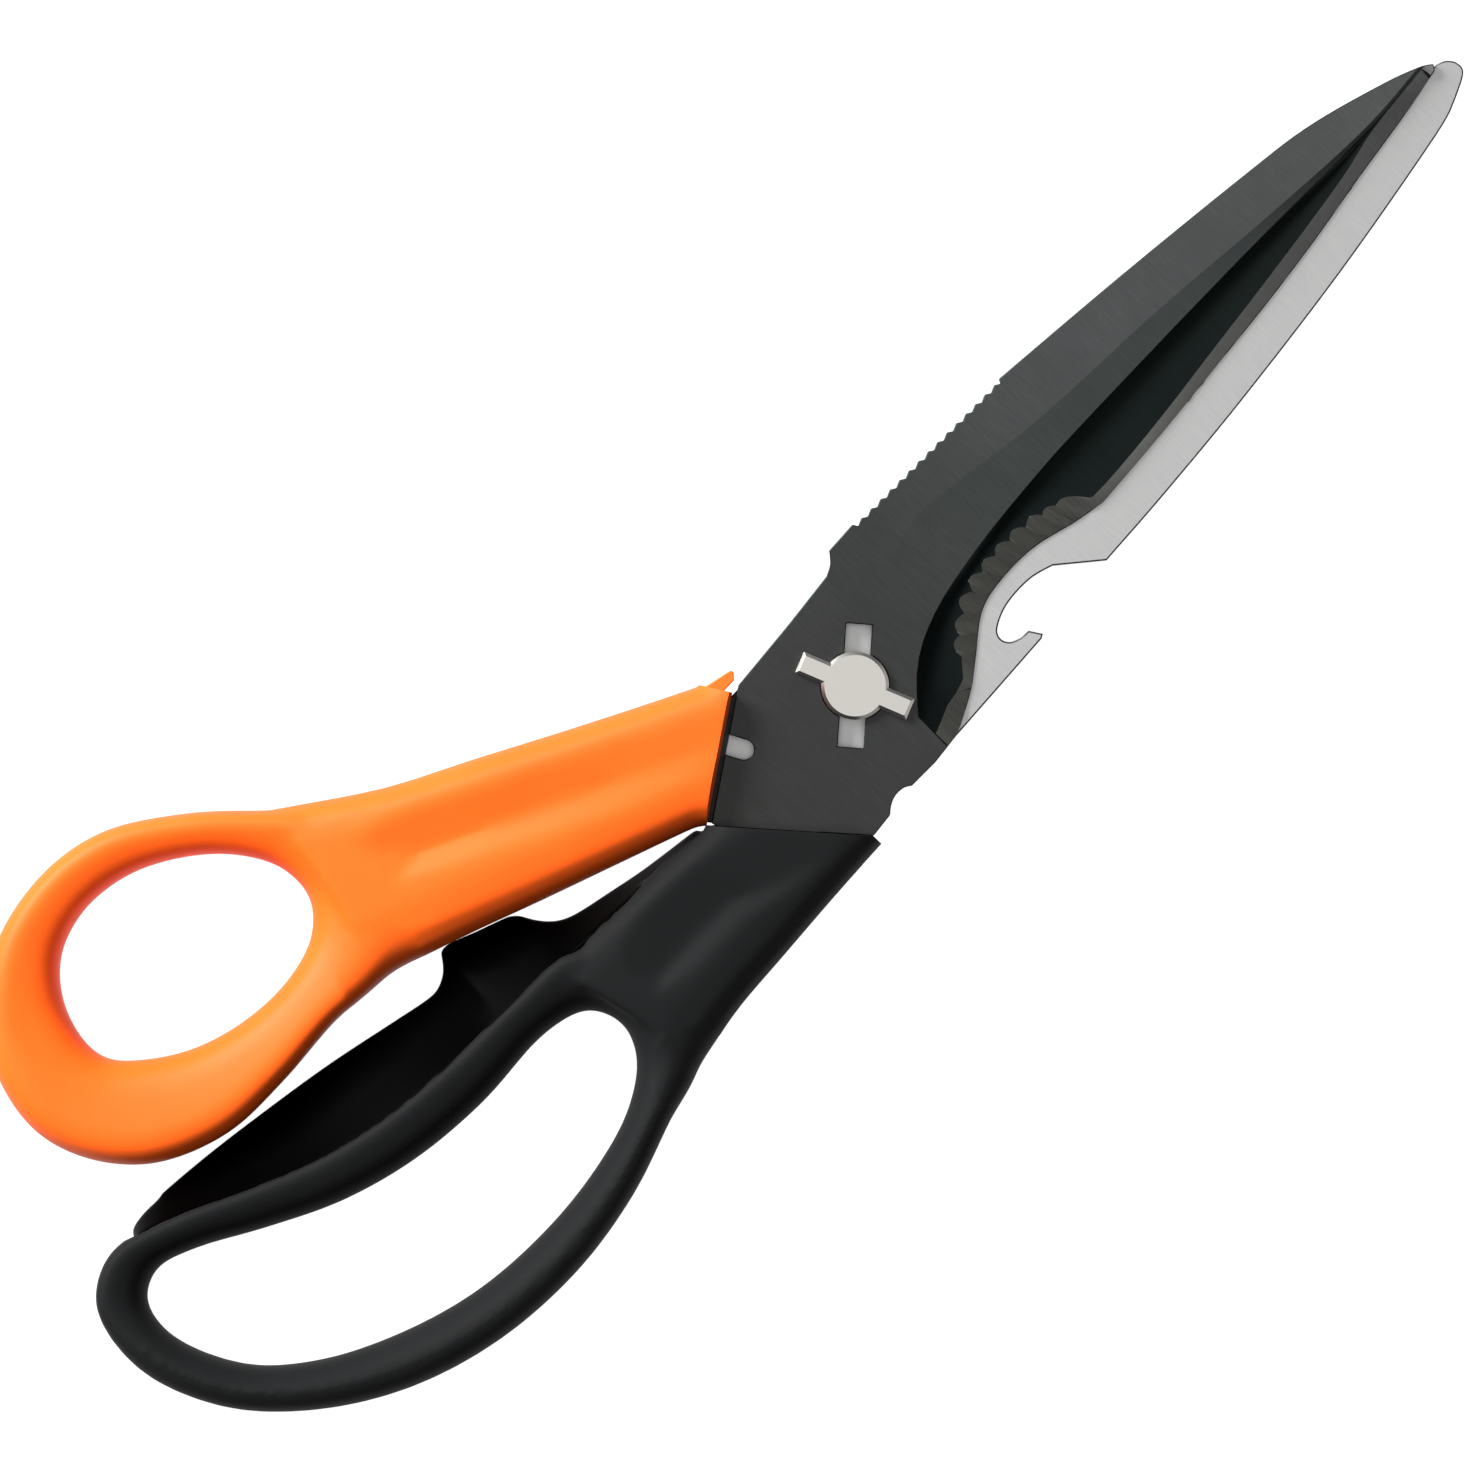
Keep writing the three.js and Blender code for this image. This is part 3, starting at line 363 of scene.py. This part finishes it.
def scallop_axes(back, face):
    """The axis of each grinding wheel's cut along the notch, as its start, its direction and its length."""
    line = smooth_line(BRANCH_NOTCH)
    lengths = [0]
    for a, b in zip(line, line[1:]):
        lengths.append(lengths[-1] + (b - a).length)
    axes = []
    for i in range(SCALLOP_COUNT):
        step = i / (SCALLOP_COUNT - 1)
        at = mix(*SCALLOP_RUN, step) * lengths[-1]
        k = next(k for k, length in enumerate(lengths) if length >= at)
        tangent = (line[k] - line[k - 1]).normalized()
        skew = math.radians(mix(*SCALLOP_SKEW, step))
        inward = Matrix.Rotation(skew, 2) @ Vector((tangent.y, -tangent.x))
        foot = Vector((*line[k], back + EDGE_LAND))
        tip = Vector((*(line[k] + inward * mix(*SCALLOP_REACH, step)), face - SCALLOP_TIP_DEPTH))
        axis = (tip - foot).normalized()
        square = (Vector((0, 0, 1)) - axis * axis.z).normalized()
        axes.append((foot + square * SCALLOP_RADIUS, axis, (tip - foot).length))
    return axes


def in_scallop(centre, axes):
    """Whether a face lies on one of the wheels' cuts."""
    for start, axis, length in axes:
        off = centre - start
        if off.dot(axis) < length + CUT_SPARE and off.cross(axis).length < SCALLOP_RADIUS * CUT_FIT:
            return True
    return False


cutter_low, cutter_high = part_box("cutting_blade")
cutter = copied("cutting_blade", "cutting_blade_steel")
FLAT, SHALLOW, HOLLOW, EDGE, BACK = range(5)
for finish in (COAT_WITH_PAINTED_LIGHT, BEVEL_COAT_PAINTED_LIGHT_AND_SHADE, HOLLOW_COAT_PAINTED_SHADE, COAT_EDGE, BARE_STEEL):
    cutter.data.materials.append(finish)
wheel_cuts = scallop_axes(cutter_low.z / MM, cutter_high.z / MM)
for face in cutter.data.polygons:
    x, y, z = centre = face.center / MM
    ground = z < cutter_high.z / MM - GRIND_LEAST and face.normal.z > GRIND_FACING and x > RIDGE[0][0]
    face.material_index = FLAT
    if face.center.z < cutter_low.z + ON_FLAT * MM:
        face.material_index = BACK
    elif ground and (y < height_at(HOLLOW_END, x) or in_scallop(centre, wheel_cuts)):
        face.material_index = EDGE
    elif ground and y < height_at(HOLLOW_TOP, x):
        face.material_index = HOLLOW
    elif ground and y < height_at(RIDGE, x):
        face.material_index = SHALLOW
# Its sharp edges are broken in the near-black hollow finish, a painted shadow line along them.
softened(cutter, CUTTER_EDGE * MM, HOLLOW)
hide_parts("cutting_blade")
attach(cutter, "finger_half")

# Pivot stud and washer
# A turned steel post with two wings that hold the blades together. Its neck is riveted over a washer at the
# back of the rear blade.

STUD_EDGE = 0.06


def turned_steel():
    """Bare steel with faint rings from the lathe."""
    material, shader, add, into = new_material("turned_steel")
    place = add("ShaderNodeTexCoord")
    rings = add("ShaderNodeTexWave", {"Vector": place.outputs["Object"], "Scale": 900.0, "Distortion": 0.6},
                wave_type="RINGS", rings_direction="Z")
    tones = [(0.0, (0.55, 0.533, 0.50)), (1.0, (0.575, 0.557, 0.522))]
    into("Base Color", ramp(add, rings.outputs["Fac"], tones))
    into("Roughness", span(add, rings.outputs["Fac"], 0.30, 0.34))
    shader.inputs["Metallic"].default_value = 1.0
    return material


TURNED_STEEL = turned_steel()
for node, name in (("pivot_stud", "pivot_stud_steel"), ("pivot_washer", "pivot_washer_steel")):
    piece = copied(node, name)
    softened(piece, STUD_EDGE * MM)
    piece.data.materials.append(TURNED_STEEL)
    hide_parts(node)
    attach(piece, "thumb_half")

# Thumb handle core
# Hard orange plastic moulded round the rear blade's tang. Only the lip at its front end shows past the grip,
# where the front blade's spine stops when the scissors are fully open.

LIP_EDGE = 0.15


def hard_core(name, dark, light, rough, specular):
    """Smooth hard moulded plastic."""
    material, shader, add, into = new_material(name)
    place = add("ShaderNodeTexCoord")
    cloud = add("ShaderNodeTexNoise", {"Vector": place.outputs["Object"], "Scale": 90.0, "Detail": 3.0})
    into("Base Color", ramp(add, cloud.outputs["Fac"], [(0.3, dark), (0.7, light)]))
    into("Roughness", span(add, cloud.outputs["Fac"], rough, rough + 0.05))
    shader.inputs["Specular IOR Level"].default_value = specular
    return material


ORANGE_CORE = hard_core("orange_core", (0.82, 0.110, 0.008), (0.85, 0.125, 0.009), 0.30, 0.3)
thumb_core = copied("thumb_handle_core", "thumb_handle_inner")
softened(thumb_core, LIP_EDGE * MM)
thumb_core.data.materials.append(ORANGE_CORE)
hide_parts("thumb_handle_core")
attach(thumb_core, "thumb_half")

# Thumb grip
# Satin orange elastomer moulded over the thumb handle's core, with the thumb loop. Its front end is flat and
# leans out a little towards the blade.

# The flat corner above the front end, with the blades on the right of the line, and where the loop flows into
# the body, in millimetres.
THUMB_CORNER = ((-11.1, 10.4), (-13.9, 15.15))
THUMB_JUNCTION = (-65.6, 18.4)
LEAN_OUT = 0.45
LEAN_DEPTH = 2.8
FRONT_SPARE = 1.5
FRONT_BLOCK = 40
FRONT_ANGLE = math.radians(35)
GRIP_VOXEL = 0.4
THUMB_PASSES = 28
EASE_RADIUS = 5.5
EASE_PASSES = 90


def lengthened(piece, line):
    """Draws a flat front end out by the spare that is cut off after smoothing."""
    right = to_the_right(line)
    start = Vector((*line[0], 0))
    bpy.ops.object.mode_set(mode="EDIT")
    bpy.ops.mesh.select_mode(type="VERT")
    bpy.ops.mesh.select_all(action="DESELECT")
    bpy.ops.object.mode_set(mode="OBJECT")
    for vertex in piece.data.vertices:
        vertex.select = abs((vertex.co / MM - start).dot(right)) < ON_FLAT
    bpy.ops.object.mode_set(mode="EDIT")
    bpy.ops.transform.translate(value=right * FRONT_SPARE * MM)
    bpy.ops.object.mode_set(mode="OBJECT")


def trimmed(piece, line, out=0, level=0, lean=0):
    """Cuts a front end off flat, further out than a line or leaning out below the line at a level."""
    (x0, y0), (x1, y1) = line
    right = to_the_right(line)
    facing = right * math.cos(lean) + Vector((0, 0, math.sin(lean)))
    middle = Vector(((x0 + x1) / 2, (y0 + y1) / 2, level)) + right * out + facing * FRONT_BLOCK / 2
    turn = math.atan2(y1 - y0, x1 - x0)
    bpy.ops.mesh.primitive_cube_add(size=FRONT_BLOCK * MM, location=middle * MM, rotation=(-lean, 0, turn))
    block = bpy.context.active_object
    bpy.context.view_layer.objects.active = piece
    cut = piece.modifiers.new("front", "BOOLEAN")
    cut.operation = "DIFFERENCE"
    cut.object = block
    bpy.ops.object.modifier_apply(modifier=cut.name)
    bpy.data.objects.remove(block)


def moulded(piece, voxel, passes):
    """Turns a faceted solid into one smooth moulded skin."""
    remesh = piece.modifiers.new("skin", "REMESH")
    remesh.mode = "VOXEL"
    remesh.voxel_size = voxel
    bpy.ops.object.modifier_apply(modifier=remesh.name)
    smooth = piece.modifiers.new("flow", "SMOOTH")
    smooth.factor = 0.5
    smooth.iterations = passes
    bpy.ops.object.modifier_apply(modifier=smooth.name)


def eased(piece, place):
    """Smooths the skin round a place, in millimetres, where one form flows into the next."""
    bpy.ops.object.mode_set(mode="EDIT")
    bpy.ops.mesh.select_mode(type="VERT")
    bpy.ops.mesh.select_all(action="DESELECT")
    bpy.ops.object.mode_set(mode="OBJECT")
    for vertex in piece.data.vertices:
        vertex.select = (vertex.co.xy / MM - Vector(place)).length < EASE_RADIUS
    bpy.ops.object.mode_set(mode="EDIT")
    bpy.ops.mesh.vertices_smooth(factor=0.5, repeat=EASE_PASSES)
    bpy.ops.object.mode_set(mode="OBJECT")


def shaded(piece):
    """Shades a moulded skin smooth up to the edges of its flat ends."""
    bpy.ops.object.select_all(action="DESELECT")
    piece.select_set(True)
    bpy.ops.object.shade_smooth_by_angle(angle=FRONT_ANGLE)


def soft_grip(name, dark, light, rough, specular):
    """Soft-touch elastomer with a very fine sparked texture."""
    material, shader, add, into = new_material(name)
    place = add("ShaderNodeTexCoord")
    cloud = add("ShaderNodeTexNoise", {"Vector": place.outputs["Object"], "Scale": 60.0, "Detail": 2.0})
    pores = add("ShaderNodeTexNoise", {"Vector": place.outputs["Object"], "Scale": 5200.0, "Detail": 2.0})
    into("Base Color", ramp(add, cloud.outputs["Fac"], [(0.3, dark), (0.7, light)]))
    into("Roughness", span(add, pores.outputs["Fac"], rough - 0.05, rough + 0.05))
    into("Normal", bump(add, pores.outputs["Fac"], 0.006 * MM))
    shader.inputs["Specular IOR Level"].default_value = specular
    return material


ORANGE_GRIP = soft_grip("orange_grip", (0.82, 0.100, 0.006), (0.85, 0.108, 0.007), 0.55, 0.18)
thumb_grip = copied("thumb_handle_grip", "thumb_handle_skin")
thumb_low, thumb_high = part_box("thumb_handle_grip")
lengthened(thumb_grip, THUMB_FRONT)
lengthened(thumb_grip, THUMB_CORNER)
moulded(thumb_grip, GRIP_VOXEL * MM, THUMB_PASSES)
eased(thumb_grip, THUMB_JUNCTION)
trimmed(thumb_grip, THUMB_FRONT, out=LEAN_OUT)
lean = math.atan2(LEAN_OUT, LEAN_DEPTH)
trimmed(thumb_grip, THUMB_FRONT, level=thumb_high.z / MM, lean=lean)
trimmed(thumb_grip, THUMB_FRONT, level=thumb_low.z / MM, lean=-lean)
trimmed(thumb_grip, THUMB_CORNER)
shaded(thumb_grip)
thumb_grip.data.materials.append(ORANGE_GRIP)
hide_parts("thumb_handle_grip")
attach(thumb_grip, "thumb_half")

# Finger handle core
# Hard black plastic moulded round the front blade's tang, in one with the slanted glossy flange that the
# thumb handle closes towards.

FLANGE_END = (-110.6, 18.2)
CORE_VOXEL = 0.28
CORE_PASSES = 14
CORE_SWELL = 0.16


def swollen(piece, amount):
    """Moves a skin outward, to meet the edge of the grip that is moulded over it."""
    bpy.ops.object.mode_set(mode="EDIT")
    bpy.ops.mesh.select_all(action="SELECT")
    bpy.ops.transform.shrink_fatten(value=amount)
    bpy.ops.object.mode_set(mode="OBJECT")


# Colour and reflection set almost to nothing: painted shade, for the flange lies in the thumb handle's
# shadow.
BLACK_CORE_PAINTED_SHADE = hard_core("black_core", (0.0005, 0.0004, 0.0004), (0.0008, 0.0007, 0.0007), 0.3, 0.003)
finger_core = copied("finger_handle_core", "finger_handle_inner")
moulded(finger_core, CORE_VOXEL * MM, CORE_PASSES)
eased(finger_core, FLANGE_END)
swollen(finger_core, CORE_SWELL * MM)
shaded(finger_core)
finger_core.data.materials.append(BLACK_CORE_PAINTED_SHADE)
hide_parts("finger_handle_core")
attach(finger_core, "finger_half")

# Finger grip
# Satin black elastomer moulded over the finger handle's core, with the long finger loop. Its front end is
# flat and laps the front blade's shoulder.

# The flat front end and its corner, with the blades on the right of each line, the underside of the thumb
# grip that it clears, and where the loop flows into the body, in millimetres.
FINGER_FRONT = ((-11.9, -14.55), (-24.85, 0.85))
FINGER_CORNER = ((-11.9, -20), (-11.9, -10))
FINGER_LAP = 0.06
THUMB_UNDERSIDE = ((-24.2, 1.45), (-29.6, 3.5))
HANDLE_GAP = 0.4
FINGER_JUNCTION = (-48.2, -18.6)
FINGER_PASSES = 24

BLACK_GRIP = soft_grip("black_grip", (0.0055, 0.0058, 0.0062), (0.0062, 0.0065, 0.0069), 0.72, 0.1)
finger_grip = copied("finger_handle_grip", "finger_handle_skin")
lengthened(finger_grip, FINGER_FRONT)
lengthened(finger_grip, FINGER_CORNER)
moulded(finger_grip, GRIP_VOXEL * MM, FINGER_PASSES)
eased(finger_grip, FINGER_JUNCTION)
trimmed(finger_grip, FINGER_FRONT, out=FINGER_LAP)
trimmed(finger_grip, FINGER_CORNER)
trimmed(finger_grip, THUMB_UNDERSIDE, out=-HANDLE_GAP)
shaded(finger_grip)
finger_grip.data.materials.append(BLACK_GRIP)
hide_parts("finger_handle_grip")
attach(finger_grip, "finger_half")

# Floor
# A plain white light table that the scissors lie on, wide enough to fill every view from above. It glows a
# little, as a lit table does.

FLOOR_SIZE = 8
FLOOR_GAP = 0.02

bpy.ops.object.select_all(action="DESELECT")
bpy.ops.mesh.primitive_plane_add(size=FLOOR_SIZE, location=(0, 0, cad_low.z - FLOOR_GAP * MM))
floor = bpy.context.active_object
floor.name = "floor"
bpy.ops.object.transform_apply(location=True, rotation=True, scale=True)
paper, paper_shader, add, into = new_material("white_paper")
paper_place = add("ShaderNodeTexCoord")
paper_fibre = add("ShaderNodeTexNoise", {"Vector": paper_place.outputs["Object"], "Scale": 30.0})
paper_tones = [(0.3, (0.10, 0.10, 0.10)), (0.7, (0.11, 0.11, 0.11))]
into("Base Color", ramp(add, paper_fibre.outputs["Fac"], paper_tones))
paper_shader.inputs["Roughness"].default_value = 0.9
paper_shader.inputs["Emission Color"].default_value = (1, 1, 1, 1)
paper_shader.inputs["Emission Strength"].default_value = 1.0
floor.data.materials.append(paper)

# Studio
# Dim surroundings, a strong soft lamp on the thumb side, a wide pale lamp overhead that the steel mirrors,
# and the camera straight above the scissors.

ROOM_LIGHT = 0.18

world = bpy.data.worlds.new("studio")
bpy.context.scene.world = world
world.use_nodes = True
world.node_tree.nodes["Background"].inputs["Color"].default_value = (1, 1, 1, 1)
world.node_tree.nodes["Background"].inputs["Strength"].default_value = ROOM_LIGHT
bpy.context.scene.view_settings.view_transform = "Standard"


def soft_lamp(name, place, aim, size, watts):
    """A round lamp at a place, turned to what it lights."""
    bpy.ops.object.light_add(type="AREA", location=place)
    lamp = bpy.context.active_object
    lamp.name = name
    lamp.data.shape = "DISK"
    lamp.data.size = size
    lamp.data.energy = watts
    lamp.rotation_euler = (Vector(aim) - Vector(place)).to_track_quat("-Z", "Y").to_euler()


soft_lamp("key_lamp", place=(-0.10, 0.73, 0.53), aim=(-0.02, 0, 0), size=0.5, watts=26)
soft_lamp("top_lamp", place=(0, 0, 2.0), aim=(0, 0, 0), size=1.4, watts=5)

PIXELS_ACROSS = 1470
PIXELS_PER_MM = 8.07
PICTURE_WIDTH = PIXELS_ACROSS / PIXELS_PER_MM * MM
PICTURE_CENTRE = Vector((-14.7 * MM, 6.5 * MM, 5 * MM))
PICTURE_TURN = math.radians(46.4)
CAMERA_HEIGHT = 1.6
SENSOR_WIDTH = 36

camera_data = bpy.data.cameras.new("camera")
camera = bpy.data.objects.new("camera", camera_data)
bpy.context.scene.collection.objects.link(camera)
camera_data.sensor_width = SENSOR_WIDTH
camera_data.lens = SENSOR_WIDTH * CAMERA_HEIGHT / PICTURE_WIDTH
camera.location = PICTURE_CENTRE + Vector((0, 0, CAMERA_HEIGHT))
camera.rotation_euler = (0, 0, -PICTURE_TURN)
bpy.context.scene.camera = camera
